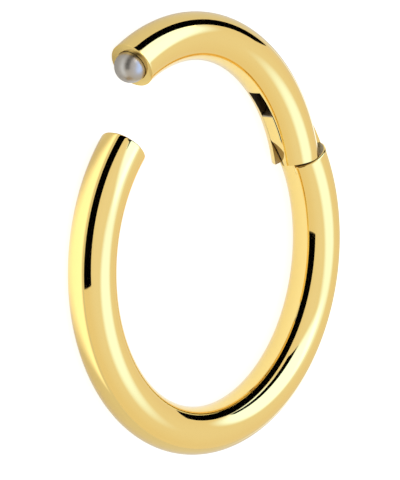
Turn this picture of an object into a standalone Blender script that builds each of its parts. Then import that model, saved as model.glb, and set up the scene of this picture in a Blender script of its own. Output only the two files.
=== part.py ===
"""Hinged segment ring: a gold wire ring whose top segment swings open on a hidden pin.

Metres, +Z up. The ring lies flat on z = 0, the origin is under the middle of its bounding box, and the
segment is shown open. Every piece is shaped about the ring's centre with the ring closed, and the hinge
axis then carries the segment, its pin and its ball to the open position.
"""

import math

import bmesh
import bpy
from mathutils import Matrix, Vector

MM = 0.001

# Driving dimensions: the wire ring
WIRE_DIAMETER = 1.6 * MM
INNER_DIAMETER = 10.0 * MM
HINGE_FACE_ANGLE = math.radians(35.5)
CLASP_FACE_ANGLE = math.radians(142.5)
EDGE_BREAK = 0.05 * MM
CLOSED_GAP = 0.03 * MM

# Driving dimensions: the hinge
HINGE_REACH = 1.31 * MM  # from the pin's axis to the body's end face
HINGE_OFFSET = 0.16 * MM  # of the pin's axis outside the wire's centreline
OPENING = math.radians(17.6)
HEEL_SLANT = math.radians(22.0)  # of the flat that frees the outer corner of the segment's heel
SLOT_WIDTH = 0.48 * MM
TONGUE_CLEARANCE = 0.03 * MM
TONGUE_REACH = 1.07 * MM  # from the pin's axis to the tongue's flat end
SLOT_END_ROOM = 0.08 * MM
SLOT_RUN_OUT = 0.53 * MM  # how much further the saw cut goes on the inner side
PIN_DIAMETER = 0.45 * MM
PIN_LENGTH = 1.1 * MM
PIN_SEAT_GAP = 0.01 * MM
PIN_RUNNING_GAP = 0.03 * MM

# Driving dimensions: the clasp
BALL_DIAMETER = 1.08 * MM
BALL_STAND_OFF = 0.07 * MM  # of the ball's centre from the segment's end face
BALL_SEAT_GAP = 0.01 * MM
SOCKET_CLEARANCE = 0.04 * MM

# Facets
WIRE_SIDES = 24
ARC_STEP = math.radians(4.0)
BALL_SIDES = 24
PIN_SIDES = 24

# Worked out from the driving dimensions
WIRE_RADIUS = WIRE_DIAMETER / 2
RING_RADIUS = INNER_DIAMETER / 2 + WIRE_RADIUS
TONGUE_WIDTH = SLOT_WIDTH - 2 * TONGUE_CLEARANCE
PIVOT_RADIUS = RING_RADIUS + HINGE_OFFSET
PIVOT_ANGLE = HINGE_FACE_ANGLE + math.asin(HINGE_REACH / PIVOT_RADIUS)
CUT_REACH = 2 * WIRE_DIAMETER  # how far a cutter runs past the wire

GOLD = ("polished_gold", (0.90, 0.66, 0.27, 1.0), 1.0, 0.08)
STEEL = ("polished_steel", (0.62, 0.62, 0.61, 1.0), 1.0, 0.12)


def polar(radius, angle):
    """A point in the ring's plane, from the ring's centre."""
    return Vector((radius * math.cos(angle), radius * math.sin(angle), 0))


PIVOT = polar(PIVOT_RADIUS, PIVOT_ANGLE)


def about_pivot(angle):
    """The turn that opens the segment by an angle."""
    return Matrix.Translation(PIVOT) @ Matrix.Rotation(-angle, 4, "Z") @ Matrix.Translation(-PIVOT)


OPEN_CENTRE = about_pivot(OPENING) @ Vector()
RING_CENTRE = Vector((0, -OPEN_CENTRE.y / 2, WIRE_RADIUS))


def clear_scene():
    for found in list(bpy.data.objects):
        bpy.data.objects.remove(found, do_unlink=True)


def new_collection(name):
    collection = bpy.data.collections.new(name)
    bpy.context.scene.collection.children.link(collection)
    return collection


def new_material(look):
    name, colour, metallic, roughness = look
    material = bpy.data.materials.new(name)
    material.use_nodes = True
    shader = material.node_tree.nodes["Principled BSDF"]
    shader.inputs["Base Color"].default_value = colour
    shader.inputs["Metallic"].default_value = metallic
    shader.inputs["Roughness"].default_value = roughness
    return material


def mesh_from_curve(curve, name):
    """The curve's solid as a mesh, with its loose caps welded on."""
    source = bpy.data.objects.new(name, curve)
    bpy.context.scene.collection.objects.link(source)
    graph = bpy.context.evaluated_depsgraph_get()
    mesh = bpy.data.meshes.new_from_object(source.evaluated_get(graph))
    bpy.data.objects.remove(source, do_unlink=True)
    work = bmesh.new()
    work.from_mesh(mesh)
    bmesh.ops.remove_doubles(work, verts=work.verts, dist=0.0001 * MM)
    bmesh.ops.recalc_face_normals(work, faces=work.faces)
    work.to_mesh(mesh)
    work.free()
    mesh.name = name
    return mesh


def wire_arc(name, start, end):
    """A round wire bent to the ring's radius, from one angle to another, with flat ends."""
    spans = math.ceil((end - start) / math.radians(45))
    span = (end - start) / spans
    handle = RING_RADIUS * math.tan(span / 4) * 4 / 3
    curve = bpy.data.curves.new(name, "CURVE")
    curve.dimensions = "3D"
    curve.twist_mode = "Z_UP"
    curve.fill_mode = "FULL"
    curve.bevel_depth = WIRE_RADIUS
    curve.bevel_resolution = WIRE_SIDES // 2 - 2
    curve.use_fill_caps = True
    curve.resolution_u = max(2, round(span / ARC_STEP))
    spline = curve.splines.new("BEZIER")
    spline.bezier_points.add(spans)
    for index, point in enumerate(spline.bezier_points):
        angle = start + index * span
        along = polar(handle, angle + math.pi / 2)
        point.handle_left_type = "FREE"
        point.handle_right_type = "FREE"
        point.co = polar(RING_RADIUS, angle)
        point.handle_left = point.co - along
        point.handle_right = point.co + along
    return mesh_from_curve(curve, name)


def plate(name, outline, thickness, height=0.0):
    """A flat outline in the ring's plane, made solid to both sides of a height."""
    curve = bpy.data.curves.new(name, "CURVE")
    curve.dimensions = "2D"
    curve.fill_mode = "BOTH"
    curve.extrude = thickness / 2
    spline = curve.splines.new("POLY")
    spline.points.add(len(outline) - 1)
    for point, place in zip(spline.points, outline):
        point.co = (place.x, place.y, 0, 1)
    spline.use_cyclic_u = True
    mesh = mesh_from_curve(curve, name)
    mesh.transform(Matrix.Translation((0, 0, height)))
    return mesh


def rod(name, diameter, length, sides, centre):
    """A round rod parallel to the ring's axis."""
    work = bmesh.new()
    bmesh.ops.create_cone(
        work,
        cap_ends=True,
        segments=sides,
        radius1=diameter / 2,
        radius2=diameter / 2,
        depth=length,
        matrix=Matrix.Translation(centre),
    )
    mesh = bpy.data.meshes.new(name)
    work.to_mesh(mesh)
    work.free()
    return mesh


def ball(name, diameter, centre, axis, travel=0.0):
    """A ball with its poles along an axis, drawn out along it into a round-ended barrel by the travel."""
    work = bmesh.new()
    bmesh.ops.create_uvsphere(work, u_segments=BALL_SIDES, v_segments=BALL_SIDES // 2, radius=diameter / 2)
    if travel:
        middle = [edge for edge in work.edges if all(abs(v.co.z) < diameter / 100 for v in edge.verts)]
        upper = [face for face in work.faces if face.calc_center_median().z > 0]
        bmesh.ops.split_edges(work, edges=middle)
        moved = {vert for face in upper for vert in face.verts}
        bmesh.ops.translate(work, verts=list(moved), vec=(0, 0, travel))
        rims = [edge for edge in work.edges if edge.is_boundary]
        bmesh.ops.bridge_loops(work, edges=rims)
        bmesh.ops.recalc_face_normals(work, faces=work.faces)
    turn = axis.to_track_quat("Z", "X").to_matrix().to_4x4()
    work.transform(Matrix.Translation(centre) @ turn)
    mesh = bpy.data.meshes.new(name)
    work.to_mesh(mesh)
    work.free()
    return mesh


def arc_points(centre, radius, start, end, steps=12):
    """Points along a circle, both ends included."""
    turn = (end - start) / steps
    return [centre + polar(radius, start + step * turn) for step in range(steps + 1)]


def beyond_hinge_face(thickness, height):
    """All of the wire past the body's end face, on the segment's side."""
    corner = polar(RING_RADIUS, HINGE_FACE_ANGLE)
    out = polar(CUT_REACH / 2, HINGE_FACE_ANGLE)
    along = polar(CUT_REACH, HINGE_FACE_ANGLE + math.pi / 2)
    outline = [corner - out, corner + out, corner + out + along, corner - out + along]
    return plate("cheek_room", outline, thickness, height)


def past_tongue_end():
    """What is cut off the end of the tongue, square to the wire."""
    across = polar(CUT_REACH / 2, PIVOT_ANGLE)
    along = polar(1, PIVOT_ANGLE + math.pi / 2)
    end = PIVOT + along * TONGUE_REACH
    outline = [end - across, end + across, end + across + along * CUT_REACH, end - across + along * CUT_REACH]
    return plate("tongue_end", outline, WIRE_DIAMETER)


def inside_open_segment():
    """What is filed off the tongue's inner corner, so that it lies flush with the open segment."""
    inner = RING_RADIUS - WIRE_RADIUS
    facing = PIVOT - OPEN_CENTRE
    middle = math.atan2(facing.y, facing.x)
    reach = math.radians(30)
    rim = arc_points(OPEN_CENTRE, inner, middle - reach / 2, middle + reach)
    back = arc_points(OPEN_CENTRE, inner - CUT_REACH / 2, middle + reach, middle - reach / 2, 4)
    return plate("tongue_inner_corner", rim + back, WIRE_DIAMETER)


def heel_trim():
    """What is cut off the segment's heel: square where it meets the body, then round about the pin, then flat."""
    across = polar(1, HINGE_FACE_ANGLE)
    down = polar(1, HINGE_FACE_ANGLE - math.pi / 2)
    reach = HINGE_REACH - CLOSED_GAP
    outline = [PIVOT - across * CUT_REACH / 2 + down * reach]
    start = HINGE_FACE_ANGLE - math.pi / 2
    outline += arc_points(PIVOT, reach, start, start + HEEL_SLANT, 5)
    tangent = polar(CUT_REACH / 2, start + HEEL_SLANT + math.pi / 2)
    outline.append(outline[-1] + tangent)
    outline.append(outline[-1] + down * CUT_REACH)
    outline.append(outline[0] + down * CUT_REACH)
    return plate("heel_trim", outline, CUT_REACH)


def slot():
    """The saw cut in the segment's heel, which runs further on the inner side."""
    across = polar(1, PIVOT_ANGLE)
    up = polar(1, PIVOT_ANGLE + math.pi / 2)
    corners = []
    for side in (WIRE_DIAMETER, -WIRE_DIAMETER):
        run_out = SLOT_RUN_OUT * (0.5 - side / WIRE_DIAMETER)
        end = TONGUE_REACH + SLOT_END_ROOM + run_out
        corners.append(PIVOT + across * side + up * end)
    outer, inner = corners
    return plate("slot", [outer, inner, inner - up * 2 * CUT_REACH, outer - up * 2 * CUT_REACH], SLOT_WIDTH)


def clasp_frame(angle):
    """The wire's centre at an angle, and the direction of the wire there, from hinge to clasp."""
    return polar(RING_RADIUS, angle), polar(1, angle + math.pi / 2)


def ball_centre():
    """The ball's centre with the ring closed."""
    end, along = clasp_frame(CLASP_FACE_ANGLE - CLOSED_GAP / RING_RADIUS)
    return end + along * BALL_STAND_OFF


def socket():
    """The room that the ball leaves through: a barrel along the start of its path about the pin."""
    centre = ball_centre()
    path_end = about_pivot(BALL_DIAMETER / (2 * (centre - PIVOT).length)) @ centre
    diameter = BALL_DIAMETER + 2 * SOCKET_CLEARANCE
    return ball("ball_path", diameter, centre, path_end - centre, WIRE_DIAMETER)


class Ring:
    """Places the pieces, their cutters and the empties that carry them."""

    def __init__(self):
        self.parts = new_collection("hinged_segment_ring")
        self.cutters = new_collection("cutters")
        self.gold = new_material(GOLD)
        self.steel = new_material(STEEL)
        self.body_frame = self.empty("ring_centre", None, RING_CENTRE, 0)
        self.segment_frame = self.empty("hinge_axis", self.body_frame, PIVOT, -OPENING)

    def empty(self, name, parent, location, turn):
        found = bpy.data.objects.new(name, None)
        found.empty_display_size = WIRE_DIAMETER
        found.parent = parent
        found.location = location
        found.rotation_euler.z = turn
        self.parts.objects.link(found)
        return found

    def place(self, mesh, frame, collection):
        """An object on a frame, for a mesh shaped about the ring's centre with the ring closed."""
        if frame is self.segment_frame:
            mesh.transform(Matrix.Translation(-PIVOT))
        found = bpy.data.objects.new(mesh.name, mesh)
        found.parent = frame
        collection.objects.link(found)
        return found

    def piece(self, mesh, frame, material):
        mesh.materials.append(material)
        mesh.shade_smooth()
        mesh.set_sharp_from_angle(angle=math.radians(30))
        return self.place(mesh, frame, self.parts)

    def break_edges(self, piece):
        bevel = piece.modifiers.new("edge_break", "BEVEL")
        bevel.width = EDGE_BREAK
        bevel.segments = 2
        bevel.limit_method = "ANGLE"
        bevel.angle_limit = math.radians(50)

    def cut(self, piece, mesh):
        cutter = self.place(mesh, piece.parent, self.cutters)
        cutter.hide_render = True
        cutter.display_type = "WIRE"
        boolean = piece.modifiers.new(mesh.name, "BOOLEAN")
        boolean.operation = "DIFFERENCE"
        boolean.solver = "EXACT"
        boolean.object = cutter

    def add_body_arc(self):
        """The larger arc, with the hinge tongue at one end and the ball's socket in the other."""
        end = PIVOT_ANGLE + TONGUE_REACH / PIVOT_RADIUS + ARC_STEP
        mesh = wire_arc("body_arc", CLASP_FACE_ANGLE, end + 2 * math.pi)
        body = self.piece(mesh, self.body_frame, self.gold)
        self.break_edges(body)
        depth = WIRE_RADIUS
        height = TONGUE_WIDTH / 2 + depth / 2
        self.cut(body, beyond_hinge_face(depth, height))
        self.cut(body, beyond_hinge_face(depth, -height))
        self.cut(body, past_tongue_end())
        self.cut(body, inside_open_segment())
        self.cut(body, rod("pin_hole", PIN_DIAMETER + 2 * PIN_RUNNING_GAP, WIRE_DIAMETER, PIN_SIDES, PIVOT))
        self.cut(body, socket())

    def add_hinged_segment(self):
        """The smaller arc, slotted at the heel for the tongue, with the ball's seat in its tip."""
        gap = CLOSED_GAP / RING_RADIUS
        mesh = wire_arc("hinged_segment", HINGE_FACE_ANGLE - ARC_STEP, CLASP_FACE_ANGLE - gap)
        segment = self.piece(mesh, self.segment_frame, self.gold)
        self.break_edges(segment)
        self.cut(segment, heel_trim())
        self.cut(segment, slot())
        seat = PIN_DIAMETER + 2 * PIN_SEAT_GAP
        self.cut(segment, rod("pin_seat", seat, PIN_LENGTH + 2 * PIN_SEAT_GAP, PIN_SIDES, PIVOT))
        self.cut(segment, self.ball_mesh("ball_seat", BALL_DIAMETER + 2 * BALL_SEAT_GAP))

    def ball_mesh(self, name, diameter):
        _, along = clasp_frame(CLASP_FACE_ANGLE)
        return ball(name, diameter, ball_centre(), along)

    def add_hinge_pin(self):
        mesh = rod("hinge_pin", PIN_DIAMETER, PIN_LENGTH, PIN_SIDES, PIVOT)
        self.piece(mesh, self.segment_frame, self.steel)

    def add_click_ball(self):
        mesh = self.ball_mesh("click_ball", BALL_DIAMETER)
        self.piece(mesh, self.segment_frame, self.steel)


def main():
    clear_scene()
    ring = Ring()
    ring.add_body_arc()
    ring.add_hinged_segment()
    ring.add_hinge_pin()
    ring.add_click_ball()


main()
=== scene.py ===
"""Dresses the hinged segment ring: fine smooth wire, polished gold and steel, a white floor and a studio."""

import logging
import math
from dataclasses import dataclass, field
from enum import Enum
from typing import Callable

import bmesh
import bpy
from mathutils import Matrix, Vector


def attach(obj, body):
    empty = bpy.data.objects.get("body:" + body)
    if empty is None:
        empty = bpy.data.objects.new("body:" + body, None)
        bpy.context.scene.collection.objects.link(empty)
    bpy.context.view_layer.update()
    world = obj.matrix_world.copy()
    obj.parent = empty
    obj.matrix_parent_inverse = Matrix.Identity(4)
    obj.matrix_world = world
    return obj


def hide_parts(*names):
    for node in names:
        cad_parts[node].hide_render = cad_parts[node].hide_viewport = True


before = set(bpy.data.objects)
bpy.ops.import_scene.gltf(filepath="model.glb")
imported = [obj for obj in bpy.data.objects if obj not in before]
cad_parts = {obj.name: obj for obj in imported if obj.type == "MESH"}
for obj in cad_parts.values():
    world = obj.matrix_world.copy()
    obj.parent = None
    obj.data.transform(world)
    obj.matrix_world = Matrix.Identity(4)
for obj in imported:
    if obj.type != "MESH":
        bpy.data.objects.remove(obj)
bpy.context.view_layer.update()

MM = 0.001
log = logging.getLogger("ring")


class Rider(Enum):
    """The CAD bodies that pieces move with."""

    BODY = "body"
    SEGMENT = "segment"


class Slot(Enum):
    """The names of the material slots."""

    GOLD = "polished_gold"
    STEEL = "polished_steel"


class Element(Enum):
    """The kinds of mesh elements, as the mesh's data and edit mode name them."""

    VERTS = ("verts", "VERT")
    EDGES = ("edges", "EDGE")
    FACES = ("faces", "FACE")


def start_clean() -> None:
    """Leave edit mode and deselect everything."""
    if bpy.context.mode != "OBJECT":
        bpy.ops.object.mode_set(mode="OBJECT")
    bpy.ops.object.select_all(action="DESELECT")


def take_up(piece: bpy.types.Object) -> None:
    """Make one piece the active and only selected one.

    Args:
        piece: The object to work on.
    """
    start_clean()
    piece.select_set(True)
    bpy.context.view_layer.objects.active = piece


def added(name: str) -> bpy.types.Object:
    """Name the primitive just added and put its place into its mesh.

    Args:
        name: The object's and its mesh's name.

    Returns:
        The object, at the origin and unturned.
    """
    piece = bpy.context.object
    piece.name = name
    piece.data.name = name
    bpy.ops.object.transform_apply(location=True, rotation=True, scale=True)
    return piece


def pick(piece: bpy.types.Object, kind: Element, test: Callable[..., bool]) -> int:
    """Select vertices, edges or faces of the mesh being edited.

    Args:
        piece: The object in edit mode.
        kind: Which of them.
        test: Says whether an element of the mesh is wanted.

    Returns:
        How many were selected.
    """
    name, mode = kind.value
    bpy.ops.mesh.select_mode(type=mode)
    bpy.ops.mesh.select_all(action="DESELECT")
    work = bmesh.from_edit_mesh(piece.data)
    chosen = [element for element in getattr(work, name) if test(element)]
    for element in chosen:
        element.select_set(True)
    work.select_flush_mode()
    bmesh.update_edit_mesh(piece.data)
    return len(chosen)


def is_corner(edge: bmesh.types.BMEdge, least: float = 0.7) -> bool:
    """Whether two faces meet at an edge at more than an angle in radians."""
    return len(edge.link_faces) == 2 and edge.calc_face_angle(0) > least


def fill_open_ends(piece: bpy.types.Object) -> None:
    """Close each open end of the mesh being edited with one flat face, and turn all faces outwards.

    Args:
        piece: The object in edit mode.
    """
    while pick(piece, Element.EDGES, lambda edge: edge.is_boundary):
        work = bmesh.from_edit_mesh(piece.data)
        first = next(edge for edge in work.edges if edge.is_boundary)
        loop, front = {first}, [first]
        while front:
            edge = front.pop()
            for vert in edge.verts:
                for other in vert.link_edges:
                    if other.is_boundary and other not in loop:
                        loop.add(other)
                        front.append(other)
        keys = {edge.index for edge in loop}
        pick(piece, Element.EDGES, lambda edge: edge.index in keys)
        bpy.ops.mesh.edge_face_add()
    bpy.ops.mesh.select_all(action="SELECT")
    bpy.ops.mesh.remove_doubles(threshold=0.0005 * MM)
    bpy.ops.mesh.normals_make_consistent(inside=False)


def carve(piece: bpy.types.Object, tool: bpy.types.Object) -> None:
    """Cut a piece with a tool, and throw the tool away.

    Args:
        piece: What is cut.
        tool: The closed mesh that cuts it.
    """
    take_up(piece)
    boolean = piece.modifiers.new(tool.name, "BOOLEAN")
    boolean.operation = "DIFFERENCE"
    boolean.solver = "EXACT"
    boolean.object = tool
    bpy.ops.object.modifier_apply(modifier=boolean.name)
    bpy.data.objects.remove(tool, do_unlink=True)


def soften(piece: bpy.types.Object, angle: float = 0.6) -> None:
    """Shade a piece smooth, with its real corners left sharp.

    Args:
        piece: The finished mesh.
        angle: The least angle of a sharp corner, in radians.
    """
    take_up(piece)
    bpy.ops.object.shade_smooth_by_angle(angle=angle)


@dataclass(frozen=True)
class RingPlan:
    """Where the ring's wire, hinge and clasp are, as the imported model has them.

    The angles are those of the closed ring, about its centre. The segment's own centre is the ring's,
    turned about the hinge pin by the opening.
    """

    wire_radius: float = 0.8 * MM
    ring_radius: float = 5.8 * MM
    centre: Vector = field(default_factory=lambda: Vector((0.0, -0.704603 * MM, 0.8 * MM)))
    pivot: Vector = field(default_factory=lambda: Vector((3.97275 * MM, 3.73824 * MM, 0.8 * MM)))
    opening: float = math.radians(17.6)
    hinge_face: float = math.radians(35.5)
    clasp_face: float = math.radians(142.5)
    closed_gap: float = 0.03 * MM
    wire_sides: int = 72
    step: float = math.radians(1.1)
    drum_depth: float = 2 * MM
    bore_sides: int = 256
    pin_sides: int = 48

    @property
    def open_centre(self) -> Vector:
        """The open segment's own centre."""
        turn = Matrix.Rotation(-self.opening, 3, "Z")
        return self.pivot + turn @ (self.centre - self.pivot)

    @property
    def pivot_angle(self) -> float:
        """The hinge pin's angle about the ring's centre."""
        reach = self.pivot - self.centre
        return math.atan2(reach.y, reach.x)

    def wire_section(self, name: str, centre: Vector, angle: float) -> bpy.types.Object:
        """Draw the wire's round section, standing at an angle of the ring.

        Args:
            name: The new piece's name.
            centre: The centre of the arc that the wire follows.
            angle: Where on the arc the section stands.

        Returns:
            An open circle of edges.
        """
        start_clean()
        place = centre + Vector((math.cos(angle), math.sin(angle), 0)) * self.ring_radius
        bpy.ops.mesh.primitive_circle_add(
            vertices=self.wire_sides,
            radius=self.wire_radius,
            fill_type="NOTHING",
            location=place,
            rotation=(-math.pi / 2, 0, angle),
        )
        return added(name)

    def sweep(self, centre: Vector, angle: float, steps: int) -> None:
        """Spin what is selected in edit mode about an arc's centre.

        Args:
            centre: The arc's centre.
            angle: How far round, in radians, counter-clockwise from above.
            steps: In how many steps.
        """
        bpy.ops.mesh.spin(steps=steps, angle=-angle, center=centre, axis=(0, 0, 1))


def direction(angle: float) -> Vector:
    """A unit vector in the ring's plane."""
    return Vector((math.cos(angle), math.sin(angle), 0))


def slab_cut(keep_side: Vector, through: Vector) -> None:
    """Cut all of the mesh being edited by a plane, drop what lies behind it and close the cut.

    Args:
        keep_side: The direction of what stays.
        through: A point of the plane.
    """
    bpy.ops.mesh.select_all(action="SELECT")
    bpy.ops.mesh.bisect(
        plane_co=through, plane_no=keep_side, use_fill=True, clear_inner=True, threshold=0.00001 * MM
    )


def drum(name: str, radius: float, depth: float, place: Vector, sides: int) -> bpy.types.Object:
    """Add a round tool parallel to the ring's axis.

    Args:
        name: Its name.
        radius: Its radius.
        depth: Its whole length.
        place: Its middle.
        sides: The number of its sides.

    Returns:
        The tool.
    """
    start_clean()
    bpy.ops.mesh.primitive_cylinder_add(vertices=sides, radius=radius, depth=depth, location=place)
    return added(name)


@dataclass
class BodyArc:
    """The larger arc: round wire, the hinge tongue at its right end and the ball's socket in its left."""

    plan: RingPlan
    rim: float = 0.06 * MM
    tongue_width: float = 0.42 * MM
    tongue_reach: float = 1.07 * MM
    tongue_rim: float = 0.028 * MM
    tongue_root: float = math.radians(3)
    tongue_turn: float = math.radians(28)
    tongue_steps: int = 14
    pin_hole: float = 0.51 * MM
    socket_diameter: float = 1.16 * MM
    socket_aim: float = 0.54 * MM
    ball_stand_off: float = 0.07 * MM

    def build(self) -> bpy.types.Object:
        """Model the arc with its two ends.

        Returns:
            The finished piece.
        """
        arc = self.bend_wire()
        carve(arc, self.socket_tool())
        tongue = self.shape_tongue()
        take_up(arc)
        tongue.select_set(True)
        bpy.ops.object.join()
        soften(arc)
        return arc

    def bend_wire(self) -> bpy.types.Object:
        """Bend the wire from the clasp round to the hinge, with softened rims.

        Returns:
            The arc, before its socket is cut.
        """
        plan = self.plan
        arc = plan.wire_section("body_arc_wire", plan.centre, plan.clasp_face)
        turn = plan.hinge_face + 2 * math.pi - plan.clasp_face
        bpy.ops.object.mode_set(mode="EDIT")
        bpy.ops.mesh.select_all(action="SELECT")
        plan.sweep(plan.centre, turn, round(turn / plan.step))
        fill_open_ends(arc)
        pick(arc, Element.EDGES, is_corner)
        bpy.ops.mesh.bevel(offset=self.rim, segments=4, profile=0.5, affect="EDGES", clamp_overlap=True)
        start_clean()
        return arc

    def shape_tongue(self) -> bpy.types.Object:
        """Make the flat tongue that the pin goes through, rooted inside the wire.

        Returns:
            A plate with rounded edges, its end square to the wire and its inner corner filed off.
        """
        plan = self.plan
        start = plan.hinge_face - self.tongue_root
        start_clean()
        bpy.ops.mesh.primitive_plane_add(
            size=1,
            location=plan.centre + direction(start) * plan.ring_radius,
            rotation=(-math.pi / 2, 0, start),
        )
        bpy.context.object.scale = (2 * plan.wire_radius, self.tongue_width, 1)
        tongue = added("tongue")
        bpy.ops.object.mode_set(mode="EDIT")
        bpy.ops.mesh.select_all(action="SELECT")
        bpy.ops.mesh.delete(type="ONLY_FACE")
        bpy.ops.mesh.select_all(action="SELECT")
        plan.sweep(plan.centre, self.tongue_turn, self.tongue_steps)
        fill_open_ends(tongue)
        along = direction(plan.pivot_angle + math.pi / 2)
        slab_cut(-along, plan.pivot + along * self.tongue_reach)
        start_clean()
        bore = plan.ring_radius - plan.wire_radius
        carve(tongue, drum("open_bore", bore, plan.drum_depth, plan.open_centre, plan.bore_sides))
        take_up(tongue)
        bpy.ops.object.mode_set(mode="EDIT")
        pick(tongue, Element.EDGES, is_corner)
        bpy.ops.mesh.bevel(offset=self.tongue_rim, segments=3, affect="EDGES", clamp_overlap=True)
        start_clean()
        carve(tongue, drum("pin_hole", self.pin_hole / 2, plan.drum_depth, plan.pivot, plan.pin_sides))
        return tongue

    def is_sawn_in_painted_shade(self, face: bmesh.types.BMFace) -> bool:
        """Tell which faces are cut by the saw and get the dark painted shade of the hinge gap: the tongue's
        end and the wire's end face at the hinge.

        Args:
            face: A face of the body arc.

        Returns:
            Whether it is one of them.
        """
        plan = self.plan
        reach = face.calc_center_median() - plan.pivot
        far = reach.dot(direction(plan.pivot_angle + math.pi / 2))
        on_tongue = self.tongue_reach - 0.04 * MM < far < 1.2 * MM
        on_wire = reach.length < 2 * MM and face.normal.dot(direction(plan.hinge_face + math.pi / 2)) > 0.99
        return reach.x > -2 * MM and (on_tongue or on_wire)

    def socket_tool(self) -> bpy.types.Object:
        """Make the room that the ball clicks into: a round-ended barrel along the start of its way out.

        Returns:
            The tool, at the body's clasp end.
        """
        plan = self.plan
        ball = clasp_ball_place(plan, self.ball_stand_off)
        swing = ball - plan.pivot
        turn = Matrix.Rotation(-self.socket_aim / swing.length, 3, "Z")
        out = (plan.pivot + turn @ swing - ball).normalized()
        start_clean()
        facing = out.to_track_quat("Z", "X").to_euler()
        bpy.ops.mesh.primitive_uv_sphere_add(
            segments=64, ring_count=32, radius=self.socket_diameter / 2, location=ball, rotation=facing
        )
        tool = added("socket_room")
        bpy.ops.object.mode_set(mode="EDIT")
        pick(tool, Element.VERTS, lambda vert: (vert.co - ball).dot(out) > 0.001 * MM)
        bpy.ops.transform.translate(value=out * 1.6 * MM)
        start_clean()
        return tool


def clasp_ball_place(plan: RingPlan, stand_off: float) -> Vector:
    """Where the ball's centre is when the ring is closed.

    Args:
        plan: The ring's plan.
        stand_off: From the segment's end face to the ball's centre.

    Returns:
        The place.
    """
    angle = plan.clasp_face - plan.closed_gap / plan.ring_radius
    end = plan.centre + direction(angle) * plan.ring_radius
    return end + direction(angle + math.pi / 2) * stand_off


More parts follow.
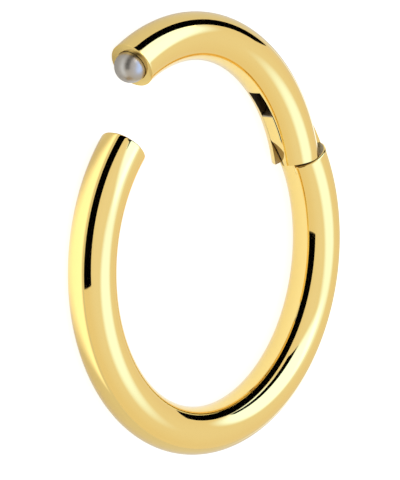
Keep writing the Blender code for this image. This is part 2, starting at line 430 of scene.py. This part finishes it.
@dataclass
class HingedSegment:
    """The smaller arc that closes the ring, with the slotted heel and the ball's seat in its tip."""

    plan: RingPlan
    rim: float = 0.06 * MM
    hinge_reach: float = 1.31 * MM
    heel_slant: float = math.radians(22)
    heel_cuts: int = 5
    heel_spare: float = math.radians(1.5)
    heel_slice: float = math.radians(5)
    slot_width: float = 0.48 * MM
    slot_end: float = 1.15 * MM
    slot_run_out: float = 0.53 * MM
    saw_length: float = 6 * MM
    saw_depth: float = 4 * MM
    seat_diameter: float = 0.47 * MM
    seat_length: float = 1.12 * MM
    ball_seat: float = 1.12 * MM
    ball_stand_off: float = 0.07 * MM

    @property
    def heel_angle(self) -> float:
        """The heel face's direction with the ring open."""
        return self.plan.hinge_face - self.plan.opening

    @property
    def tip_angle(self) -> float:
        """The tip face's angle about the open segment's centre."""
        return self.plan.clasp_face - self.plan.closed_gap / self.plan.ring_radius - self.plan.opening

    def build(self) -> bpy.types.Object:
        """Model the segment with its heel and tip.

        Returns:
            The finished piece.
        """
        plan = self.plan
        arc = self.bend_wire()
        carve(arc, self.saw_cut())
        carve(arc, drum("pin_seat", self.seat_diameter / 2, self.seat_length, plan.pivot, plan.pin_sides))
        carve(arc, self.ball_seat_tool())
        soften(arc)
        return arc

    def bend_wire(self) -> bpy.types.Object:
        """Bend the wire from the heel to the tip, trim the heel and soften both rims.

        Returns:
            The arc, before its slot is cut by the saw.
        """
        plan = self.plan
        first = self.heel_angle - self.heel_spare
        second = first + self.heel_slice
        arc = plan.wire_section("hinged_segment_wire", plan.open_centre, first)
        bpy.ops.object.mode_set(mode="EDIT")
        bpy.ops.mesh.select_all(action="SELECT")
        plan.sweep(plan.open_centre, second - first, 1)
        pick(arc, Element.VERTS, lambda vert: self.angle_of(vert.co) > second - 0.001)
        plan.sweep(plan.open_centre, self.tip_angle - second, round((self.tip_angle - second) / plan.step))
        fill_open_ends(arc)
        self.trim_heel()
        pick(arc, Element.EDGES, is_corner)
        bpy.ops.mesh.bevel(offset=self.rim, segments=4, profile=0.5, affect="EDGES", clamp_overlap=True)
        start_clean()
        return arc

    def angle_of(self, place: Vector) -> float:
        """A place's angle about the open segment's centre."""
        reach = place - self.plan.open_centre
        return math.atan2(reach.y, reach.x)

    def trim_heel(self) -> None:
        """Cut the heel square to the wire, then in steps round the pin, then flat on its outer corner."""
        plan = self.plan
        down = self.heel_angle - math.pi / 2
        reach = self.hinge_reach - plan.closed_gap
        for index in range(self.heel_cuts + 1):
            normal = direction(down + self.heel_slant * index / self.heel_cuts)
            slab_cut(-normal, plan.pivot + normal * reach)

    def saw_cut(self) -> bpy.types.Object:
        """Make the slot's tool: a thick plate, its end slanting further in on the inner side.

        Returns:
            The tool.
        """
        plan = self.plan
        angle = plan.pivot_angle - plan.opening
        out, along = direction(angle), direction(angle + math.pi / 2)
        length, depth = self.saw_length, self.saw_depth
        start_clean()
        end = self.slot_end + self.slot_run_out / 2
        bpy.ops.mesh.primitive_cube_add(
            size=1, location=plan.pivot + along * (end - length / 2), rotation=(0, 0, angle)
        )
        bpy.context.object.scale = (depth, length, self.slot_width)
        tool = added("saw")
        bpy.ops.object.mode_set(mode="EDIT")
        for side in (1, -1):
            pick(
                tool,
                Element.VERTS,
                lambda vert: (vert.co - plan.pivot).dot(along) > 0
                and (vert.co - plan.pivot).dot(out) * side > 0,
            )
            slope = self.slot_run_out / (2 * plan.wire_radius)
            bpy.ops.transform.translate(value=-along * slope * side * depth / 2)
        start_clean()
        return tool

    def ball_seat_tool(self) -> bpy.types.Object:
        """Make the round hollow that the ball is set in.

        Returns:
            The tool, at the tip.
        """
        start_clean()
        bpy.ops.mesh.primitive_uv_sphere_add(
            segments=64,
            ring_count=32,
            radius=self.ball_seat / 2,
            location=self.ball_place(),
            rotation=self.ball_turn(),
        )
        return added("ball_seat")

    def is_sawn_in_painted_shade(self, face: bmesh.types.BMFace) -> bool:
        """Tell which faces are cut by the saw and get the dark painted shade of the slot and the hinge gap:
        the slot's two walls, its end and the heel.

        Args:
            face: A face of the segment.

        Returns:
            Whether it is one of them.
        """
        reach = face.calc_center_median() - self.plan.pivot
        in_slot = abs(reach.z) < self.slot_width / 2 + 0.004 * MM
        on_heel = face.normal.dot(direction(self.heel_angle + self.heel_slant / 2 - math.pi / 2)) > 0.95
        return reach.length < 2.2 * MM and (in_slot or on_heel)

    def ball_place(self) -> Vector:
        """Where the ball's centre is with the ring open."""
        end = self.plan.open_centre + direction(self.tip_angle) * self.plan.ring_radius
        return end + direction(self.tip_angle + math.pi / 2) * self.ball_stand_off

    def ball_turn(self) -> tuple[float, float, float]:
        """The turn that points a sphere's poles along the wire at the tip."""
        return tuple(direction(self.tip_angle + math.pi / 2).to_track_quat("Z", "X").to_euler())


@dataclass
class ClickBall:
    """The steel ball in the segment's tip."""

    segment: HingedSegment
    diameter: float = 1.08 * MM
    flat_share: float = 0.49

    def build(self) -> bpy.types.Object:
        """Model the ball.

        Returns:
            A sphere whose hidden back is ground flat where it is set in the tip.
        """
        start_clean()
        place = self.segment.ball_place()
        bpy.ops.mesh.primitive_uv_sphere_add(
            segments=64,
            ring_count=32,
            radius=self.diameter / 2,
            location=place,
            rotation=self.segment.ball_turn(),
        )
        ball = added("click_ball_polished")
        back = -direction(self.segment.tip_angle + math.pi / 2)
        bpy.ops.object.mode_set(mode="EDIT")
        slab_cut(-back, place + back * self.diameter * self.flat_share)
        start_clean()
        soften(ball)
        return ball


@dataclass(frozen=True)
class PolishMarks:
    """The shared node group of faint polishing haze: a mask and a height that vary over the surface."""

    name: str = "polish_marks"

    def group(self) -> bpy.types.NodeTree:
        """Make the group once.

        Returns:
            The group, with a vector, the haze's scale and the lines' scale as inputs.
        """
        found = bpy.data.node_groups.get(self.name)
        if found:
            return found
        tree = bpy.data.node_groups.new(self.name, "ShaderNodeTree")
        face = tree.interface
        face.new_socket("Vector", in_out="INPUT", socket_type="NodeSocketVector")
        for label in ("Haze Scale", "Line Scale"):
            face.new_socket(label, in_out="INPUT", socket_type="NodeSocketFloat")
        for label in ("Haze", "Height"):
            face.new_socket(label, in_out="OUTPUT", socket_type="NodeSocketFloat")
        entry = tree.nodes.new("NodeGroupInput")
        outlet = tree.nodes.new("NodeGroupOutput")
        haze = tree.nodes.new("ShaderNodeTexNoise")
        haze.inputs["Detail"].default_value = 3.0
        stretch = tree.nodes.new("ShaderNodeMapping")
        stretch.inputs["Scale"].default_value = (1.0, 1.0, 6.0)
        lines = tree.nodes.new("ShaderNodeTexNoise")
        lines.inputs["Detail"].default_value = 2.0
        tree.links.new(entry.outputs["Vector"], haze.inputs["Vector"])
        tree.links.new(entry.outputs["Haze Scale"], haze.inputs["Scale"])
        tree.links.new(entry.outputs["Vector"], stretch.inputs["Vector"])
        tree.links.new(stretch.outputs["Vector"], lines.inputs["Vector"])
        tree.links.new(entry.outputs["Line Scale"], lines.inputs["Scale"])
        tree.links.new(haze.outputs["Fac"], outlet.inputs["Haze"])
        tree.links.new(lines.outputs["Fac"], outlet.inputs["Height"])
        return tree


@dataclass(frozen=True)
class PolishedMetal:
    """A mirror-bright metal with a little haze and fine polishing lines.

    Attributes:
        name: The material's name.
        clean: Its colour where the polish is clearest.
        hazy: Its colour where it is hazy.
        smoothest: The least roughness.
        roughest: The most roughness.
        haze_scale: How fine the haze is.
        line_scale: How fine the lines are.
        line_strength: How strongly the lines show.
        line_depth: How deep the lines are.
    """

    name: str
    clean: tuple[float, float, float]
    hazy: tuple[float, float, float]
    smoothest: float
    roughest: float
    haze_scale: float = 900.0
    line_scale: float = 9000.0
    line_strength: float = 0.012
    line_depth: float = 0.002 * MM

    def material(self) -> bpy.types.Material:
        """Make the material.

        Returns:
            A material that reads Object coordinates.
        """
        material = bpy.data.materials.new(self.name)
        material.use_nodes = True
        tree = material.node_tree
        shader = tree.nodes["Principled BSDF"]
        shader.inputs["Metallic"].default_value = 1.0
        place = tree.nodes.new("ShaderNodeTexCoord")
        marks = tree.nodes.new("ShaderNodeGroup")
        marks.node_tree = PolishMarks().group()
        marks.inputs["Haze Scale"].default_value = self.haze_scale
        marks.inputs["Line Scale"].default_value = self.line_scale
        tone = tree.nodes.new("ShaderNodeMix")
        tone.data_type = "RGBA"
        tone.inputs["A"].default_value = (*self.clean, 1.0)
        tone.inputs["B"].default_value = (*self.hazy, 1.0)
        rough = tree.nodes.new("ShaderNodeMapRange")
        rough.inputs["From Min"].default_value = 0.3
        rough.inputs["From Max"].default_value = 0.7
        rough.inputs["To Min"].default_value = self.smoothest
        rough.inputs["To Max"].default_value = self.roughest
        bump = tree.nodes.new("ShaderNodeBump")
        bump.inputs["Strength"].default_value = self.line_strength
        bump.inputs["Distance"].default_value = self.line_depth
        tree.links.new(place.outputs["Object"], marks.inputs["Vector"])
        tree.links.new(marks.outputs["Haze"], tone.inputs["Factor"])
        tree.links.new(marks.outputs["Haze"], rough.inputs["Value"])
        tree.links.new(marks.outputs["Height"], bump.inputs["Height"])
        tree.links.new(tone.outputs["Result"], shader.inputs["Base Color"])
        tree.links.new(rough.outputs["Result"], shader.inputs["Roughness"])
        tree.links.new(bump.outputs["Normal"], shader.inputs["Normal"])
        return material


GOLD = PolishedMetal("gold_polished", (0.985, 0.69, 0.215), (0.965, 0.67, 0.21), 0.03, 0.07)
STEEL = PolishedMetal("steel_polished", (0.52, 0.46, 0.37), (0.47, 0.41, 0.33), 0.34, 0.40)
# Painted shade: a dark brown metal laid on the faces inside the slot and in the hinge gap, standing in for
# the shade there; its higher roughness is the saw's matt finish.
SAWN_PAINTED_SHADE = PolishedMetal("sawn_painted_shade", (0.44, 0.35, 0.22), (0.36, 0.28, 0.18), 0.30, 0.42)


def dress(piece: bpy.types.Object, material: bpy.types.Material) -> None:
    """Give a piece one material.

    Args:
        piece: The piece or the CAD node.
        material: Its finish.
    """
    piece.data.materials.clear()
    piece.data.materials.append(material)


def dress_part(piece: bpy.types.Object, material: bpy.types.Material, test: Callable[..., bool]) -> None:
    """Give some of a piece's faces a second material.

    Args:
        piece: The piece.
        material: The finish of those faces.
        test: Tells whether a face is one of them.
    """
    piece.data.materials.append(material)
    take_up(piece)
    bpy.ops.object.mode_set(mode="EDIT")
    count = pick(piece, Element.FACES, test)
    piece.active_material_index = len(piece.data.materials) - 1
    bpy.ops.object.material_slot_assign()
    start_clean()
    log.info("%s: %d faces in %s", piece.name, count, material.name)


def on_frame(piece: bpy.types.Object, rider: Rider, node: str) -> None:
    """Tie a piece to the frame.

    Args:
        piece: The piece.
        rider: The CAD body that it moves with.
        node: The CAD node that it stands for.
    """
    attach(piece, rider.value)
    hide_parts(node)
    log.info("%s: %d faces, for %s", piece.name, len(piece.data.polygons), node)


@dataclass(frozen=True)
class Glow:
    """The finish of a card, as the metal sees it.

    Attributes:
        name: The material's name.
        brightness: How bright it is, where 1 is white.
        tint: Its colour.
    """

    name: str
    brightness: float
    tint: tuple[float, float, float] = (1.0, 1.0, 1.0)

    def material(self) -> bpy.types.Material:
        """Make the emission material.

        Returns:
            The material.
        """
        material = bpy.data.materials.new(self.name)
        material.use_nodes = True
        tree = material.node_tree
        tree.nodes.clear()
        glow = tree.nodes.new("ShaderNodeEmission")
        glow.inputs["Color"].default_value = (*self.tint, 1.0)
        glow.inputs["Strength"].default_value = self.brightness
        out = tree.nodes.new("ShaderNodeOutputMaterial")
        tree.links.new(glow.outputs["Emission"], out.inputs["Surface"])
        return material


@dataclass(frozen=True)
class Card:
    """A long card with straight edges that stands far off round the ring.

    Attributes:
        name: Its name.
        light: How bright it is, 0 for black.
        start: Its first end: the direction seen from above, and its lowest and highest angle, in degrees.
        end: Its last end, in the same way.
        seen_by: The names of the pieces that see its light, or none for all.
        radius: How far off it stands.
    """

    name: str
    light: float
    start: tuple[float, float, float]
    end: tuple[float, float, float]
    seen_by: tuple[str, ...] = ()
    radius: float = 200 * MM

    def spot(self, along: float, across: float) -> Vector:
        """The point of the card at a share of its length and a share of its height.

        Args:
            along: The share of the way from its first end to its last.
            across: The share of the way from its lower edge to its upper.

        Returns:
            The point.
        """
        turn, low, high = (first + along * (last - first) for first, last in zip(self.start, self.end))
        rise = math.radians(low + across * (high - low))
        around = direction(math.radians(turn)) * math.cos(rise)
        return (around + Vector((0, 0, math.sin(rise)))) * self.radius


CARDS = (
    Card("dark_card", 0.0, (20, 3, 20), (200, 1, 34)),
    Card("bright_card", 3.0, (45, 23, 28), (105, 37, 55), ("hinged_segment_wire", "click_ball_polished")),
)


@dataclass
class Studio:
    """The floor, the room's light, the cards and the camera."""

    plan: RingPlan
    floor_size: float = 600 * MM
    floor_drop: float = 0.002 * MM
    floor_grey: float = 0.66
    floor_lift: float = 0.75
    inner_glow: tuple = (7 * MM, 5 * MM, 0.30, 0.75)
    side_glows: tuple = ((7 * MM, 9 * MM, 1.4), (-5.6 * MM, -7 * MM, 0.9))
    side_reach: tuple = (15 * MM, 9.5 * MM)
    floor_tint: tuple = (0.65, 0.78, 1.0)
    room_light: float = 0.83
    sky_tint: tuple = (0.12, 0.36, 1.0)
    glows: tuple = ((58, 49, 21, 33, 2.2), (-38, 70, 12, 32, 1.6), (0, 90, 25, 80, 0.25))
    cards: tuple[Card, ...] = CARDS
    card_columns: int = 64
    card_rows: int = 8
    look: Vector = field(default_factory=lambda: Vector((-0.7743, 0.0535, 0.6306)))
    distance: float = 274 * MM
    lens: float = 625.0
    sensor: float = 36.0
    nearest: float = 10 * MM

    def build(self, pieces: list[bpy.types.Object]) -> None:
        """Set up the whole studio.

        Args:
            pieces: The ring's pieces.
        """
        self.lay_floor()
        self.light_world()
        for card in self.cards:
            self.stand_card(card, [piece for piece in pieces if piece.name in card.seen_by])
        self.place_camera()

    def lay_floor(self) -> None:
        """Lay the white floor, which the camera sees a little brighter than the metal does."""
        start_clean()
        bpy.ops.mesh.primitive_plane_add(size=self.floor_size, location=(0, 0, -self.floor_drop))
        floor = added("floor")
        material = bpy.data.materials.new("white_floor")
        material.use_nodes = True
        tree = material.node_tree
        shader = tree.nodes["Principled BSDF"]
        shader.inputs["Base Color"].default_value = (self.floor_grey, self.floor_grey, self.floor_grey, 1.0)
        shader.inputs["Roughness"].default_value = 1.0
        shader.inputs["Specular IOR Level"].default_value = 0.0
        ray = tree.nodes.new("ShaderNodeLightPath")
        lift = tree.nodes.new("ShaderNodeEmission")
        lift.inputs["Strength"].default_value = self.floor_lift
        side = tree.nodes.new("ShaderNodeEmission")
        side.inputs["Color"].default_value = (*self.floor_tint, 1.0)
        tree.links.new(self.bright_sides(tree), side.inputs["Strength"])
        choose = tree.nodes.new("ShaderNodeMixShader")
        total = tree.nodes.new("ShaderNodeAddShader")
        out = tree.nodes["Material Output"]
        tree.links.new(ray.outputs["Is Camera Ray"], choose.inputs["Fac"])
        tree.links.new(side.outputs["Emission"], choose.inputs[1])
        tree.links.new(lift.outputs["Emission"], choose.inputs[2])
        tree.links.new(shader.outputs["BSDF"], total.inputs[0])
        tree.links.new(choose.outputs["Shader"], total.inputs[1])
        tree.links.new(total.outputs["Shader"], out.inputs["Surface"])
        floor.data.materials.append(material)

    def bright_sides(self, tree: bpy.types.NodeTree) -> bpy.types.NodeSocket:
        """Brighten the floor softly within the ring and on both sides of it, as the metal sees it.

        Args:
            tree: The floor's nodes.

        Returns:
            The socket that gives the added brightness.
        """
        place = tree.nodes.new("ShaderNodeTexCoord")
        split = tree.nodes.new("ShaderNodeSeparateXYZ")
        tree.links.new(place.outputs["Object"], split.inputs["Vector"])
        away = tree.nodes.new("ShaderNodeVectorMath")
        away.operation = "DISTANCE"
        away.inputs[1].default_value = (self.plan.centre.x, self.plan.centre.y, 0.0)
        tree.links.new(place.outputs["Object"], away.inputs[0])
        outer, inner, least, most = self.inner_glow
        level = self.ramp(tree, away.outputs["Value"], outer, inner, least, most)
        none, full = self.side_reach
        for near, far, glow in self.side_glows:
            add = tree.nodes.new("ShaderNodeMath")
            add.operation = "MULTIPLY_ADD"
            tree.links.new(self.ramp(tree, away.outputs["Value"], none, full, 0.0, 1.0), add.inputs[0])
            tree.links.new(self.ramp(tree, split.outputs["X"], near, far, 0.0, glow), add.inputs[1])
            tree.links.new(level, add.inputs[2])
            level = add.outputs["Value"]
        return level

    def ramp(
        self,
        tree: bpy.types.NodeTree,
        value: bpy.types.NodeSocket,
        start: float,
        end: float,
        low: float,
        high: float,
    ) -> bpy.types.NodeSocket:
        """Turn a value into a soft step.

        Args:
            tree: The nodes.
            value: The value.
            start: Where the step starts.
            end: Where it ends.
            low: What it gives before the start.
            high: What it gives after the end.

        Returns:
            The socket that gives the step.
        """
        step = tree.nodes.new("ShaderNodeMapRange")
        step.interpolation_type = "SMOOTHSTEP"
        for name, number in (("From Min", start), ("From Max", end), ("To Min", low), ("To Max", high)):
            step.inputs[name].default_value = number
        tree.links.new(value, step.inputs["Value"])
        return step.outputs["Result"]

    def stand_card(self, card: Card, seen_by: list[bpy.types.Object]) -> None:
        """Stand one card far off round the ring. Only the metal's reflections see it.

        Args:
            card: Its light and its ends.
            seen_by: The pieces that see its light, or none for all. To the others it is dark.
        """
        start_clean()
        columns, rows = self.card_columns, self.card_rows
        bpy.ops.mesh.primitive_grid_add(x_subdivisions=columns, y_subdivisions=rows, size=1)
        sheet = bpy.context.object
        sheet.name = sheet.data.name = card.name
        for vert in sheet.data.vertices:
            vert.co = card.spot(vert.co.x + 0.5, vert.co.y + 0.5)
        sheet.data.materials.append(Glow(card.name, card.light).material())
        for sight in ("camera", "diffuse", "shadow", "transmission", "volume_scatter"):
            setattr(sheet, "visible_" + sight, False)
        if seen_by:
            group = bpy.data.collections.new(card.name + "_seen_by")
            for piece in seen_by:
                group.objects.link(piece)
            sheet.light_linking.receiver_collection = group

    def light_world(self) -> None:
        """Light the room: white to the camera, pale to the metal, with soft cool places overhead."""
        world = bpy.data.worlds.new("pale_room")
        bpy.context.scene.world = world
        world.use_nodes = True
        tree = world.node_tree
        room = tree.nodes["Background"]
        room.inputs["Color"].default_value = (1.0, 1.0, 1.0, 1.0)
        room.inputs["Strength"].default_value = self.room_light
        sky = tree.nodes.new("ShaderNodeBackground")
        sky.inputs["Color"].default_value = (*self.sky_tint, 1.0)
        only = tree.nodes.new("ShaderNodeMath")
        only.operation = "MULTIPLY"
        tree.links.new(self.sky_glow(tree), only.inputs[0])
        tree.links.new(only.outputs["Value"], sky.inputs["Strength"])
        both = tree.nodes.new("ShaderNodeAddShader")
        seen = tree.nodes.new("ShaderNodeBackground")
        seen.inputs["Color"].default_value = (1.0, 1.0, 1.0, 1.0)
        ray = tree.nodes.new("ShaderNodeLightPath")
        tree.links.new(ray.outputs["Is Glossy Ray"], only.inputs[1])
        choose = tree.nodes.new("ShaderNodeMixShader")
        tree.links.new(room.outputs["Background"], both.inputs[0])
        tree.links.new(sky.outputs["Background"], both.inputs[1])
        tree.links.new(ray.outputs["Is Camera Ray"], choose.inputs["Fac"])
        tree.links.new(both.outputs["Shader"], choose.inputs[1])
        tree.links.new(seen.outputs["Background"], choose.inputs[2])
        tree.links.new(choose.outputs["Shader"], tree.nodes["World Output"].inputs["Surface"])

    def sky_glow(self, tree: bpy.types.NodeTree) -> bpy.types.NodeSocket:
        """Add up the bright places overhead.

        Args:
            tree: The world's nodes.

        Returns:
            The socket that gives their brightness.
        """
        place = tree.nodes.new("ShaderNodeTexCoord")
        level = None
        for turn, rise, full, none, glow in self.glows:
            towards = direction(math.radians(turn)) * math.cos(math.radians(rise))
            towards.z = math.sin(math.radians(rise))
            near = tree.nodes.new("ShaderNodeVectorMath")
            near.operation = "DOT_PRODUCT"
            near.inputs[1].default_value = towards
            tree.links.new(place.outputs["Generated"], near.inputs[0])
            start, end = (math.cos(math.radians(angle)) for angle in (none, full))
            add = tree.nodes.new("ShaderNodeMath")
            add.inputs[0].default_value = 0.0
            tree.links.new(self.ramp(tree, near.outputs["Value"], start, end, 0.0, glow), add.inputs[1])
            if level:
                tree.links.new(level, add.inputs[0])
            level = add.outputs["Value"]
        return level

    def place_camera(self) -> None:
        """Place the camera at the photo's angle."""
        towards = self.look.normalized()
        upright = Vector((0, 0.9964, -0.0845))
        up = (upright - towards * towards.y * 0.9964 + towards * towards.z * 0.0845).normalized()
        right = up.cross(towards).normalized()
        aim = self.plan.centre - right * 0.205 * MM + up * 0.495 * MM
        bpy.ops.object.camera_add(location=aim + towards * self.distance)
        camera = bpy.context.object
        camera.name = "camera"
        turn = Matrix((right, up, towards)).transposed().to_4x4()
        turn.translation = aim + towards * self.distance
        camera.matrix_world = turn
        camera.data.lens = self.lens
        camera.data.sensor_width = self.sensor
        camera.data.clip_start = self.nearest
        bpy.context.scene.camera = camera


def main() -> None:
    """Build and dress the ring, then the studio."""
    logging.basicConfig(level=logging.INFO, format="%(message)s")
    plan = RingPlan()
    gold, steel, sawn_shade_paint = GOLD.material(), STEEL.material(), SAWN_PAINTED_SHADE.material()

    formed = BodyArc(plan)
    body = formed.build()
    dress(body, gold)
    # The tongue's end and the wire's end face at the hinge get the dark painted shade.
    dress_part(body, sawn_shade_paint, formed.is_sawn_in_painted_shade)
    on_frame(body, Rider.BODY, "body_arc")

    shaped = HingedSegment(plan)
    segment = shaped.build()
    dress(segment, gold)
    # The slot's walls, its end and the heel get the dark painted shade.
    dress_part(segment, sawn_shade_paint, shaped.is_sawn_in_painted_shade)
    on_frame(segment, Rider.SEGMENT, "hinged_segment")

    ball = ClickBall(shaped).build()
    dress(ball, steel)
    on_frame(ball, Rider.SEGMENT, "click_ball")

    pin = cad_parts["hinge_pin"]
    dress(pin, steel)
    log.info("%s: the CAD pin, in steel", pin.name)

    Studio(plan).build([body, segment, ball])
    bpy.context.scene.view_settings.view_transform = "Standard"
    start_clean()


if __name__ == "__main__":
    main()
